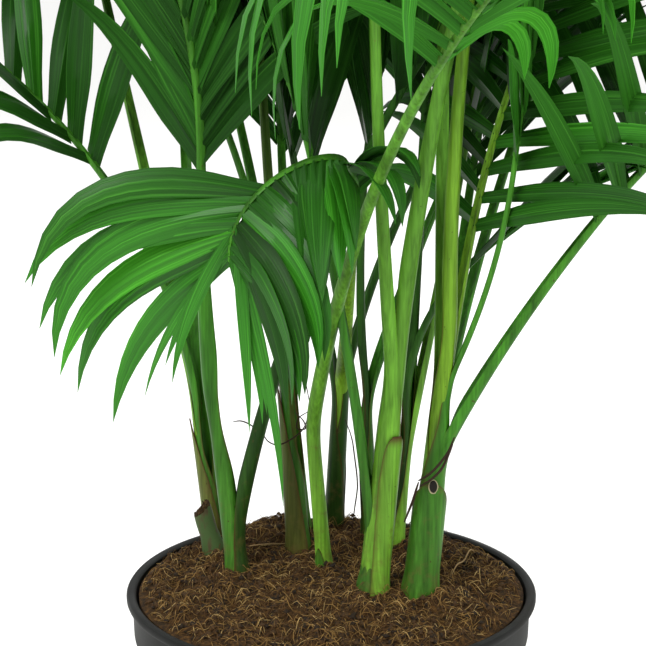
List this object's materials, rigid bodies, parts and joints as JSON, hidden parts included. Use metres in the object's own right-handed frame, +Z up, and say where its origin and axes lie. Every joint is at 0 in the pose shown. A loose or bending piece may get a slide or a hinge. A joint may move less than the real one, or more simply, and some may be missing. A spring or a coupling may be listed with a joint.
{
  "type": "potted cat palm",
  "caption": "Bushy indoor palm in a round nursery pot: a clump of smooth cane-like stems with long stalks and arching feather fronds, stands on its flat base.",
  "frame": {"origin": "middle of the pot's flat underside, on the surface that the pot stands on", "axes": "+Z up; -Y is the side that the picture shows, with +X to its right"},
  "size_m": [0.9029, 0.9058, 0.9565],
  "materials": {
    "pot": "satin moulded",
    "growing_medium": "rough fibrous",
    "cane": "smooth waxy",
    "stub": "dry",
    "stalk": "smooth waxy",
    "frond": "satin leaf"
  },
  "bodies": {
    "root": {"pot": "pot", "growing_medium": "growing_medium", "cut_stub": "stub", "cane_a": "cane", "cane_b": "cane", "cane_c": "cane", "cane_d": "cane", "cane_e": "cane", "cane_f": "cane", "cane_g": "cane", "cane_h": "cane", "cane_i": "cane", "cane_q": "cane", "cane_r": "cane", "stalk_a1": "stalk", "stalk_a3": "stalk", "stalk_c1": "stalk", "stalk_d1": "stalk", "stalk_e1": "stalk", "stalk_e3": "stalk", "stalk_f2": "stalk", "stalk_f3": "stalk", "stalk_g1": "stalk", "stalk_h2": "stalk", "stalk_h3": "stalk", "stalk_h4": "stalk", "stalk_i2": "stalk", "stalk_q1": "stalk", "stalk_q2": "stalk", "stalk_r1": "stalk", "stalk_r2": "stalk", "frond_a1": "frond", "frond_a2": "frond", "frond_a3": "frond", "frond_b1": "frond", "frond_b2": "frond", "frond_c1": "frond", "frond_c2": "frond", "frond_d1": "frond", "frond_e1": "frond", "frond_e2": "frond", "frond_e3": "frond", "frond_f1": "frond", "frond_f2": "frond", "frond_f3": "frond", "frond_g1": "frond", "frond_g2": "frond", "frond_g3": "frond", "frond_h1": "frond", "frond_h2": "frond", "frond_h3": "frond", "frond_h4": "frond", "frond_h5": "frond", "frond_i1": "frond", "frond_i2": "frond", "frond_q1": "frond", "frond_q2": "frond", "frond_r1": "frond", "frond_r2": "frond"}
  },
  "joints": []
}
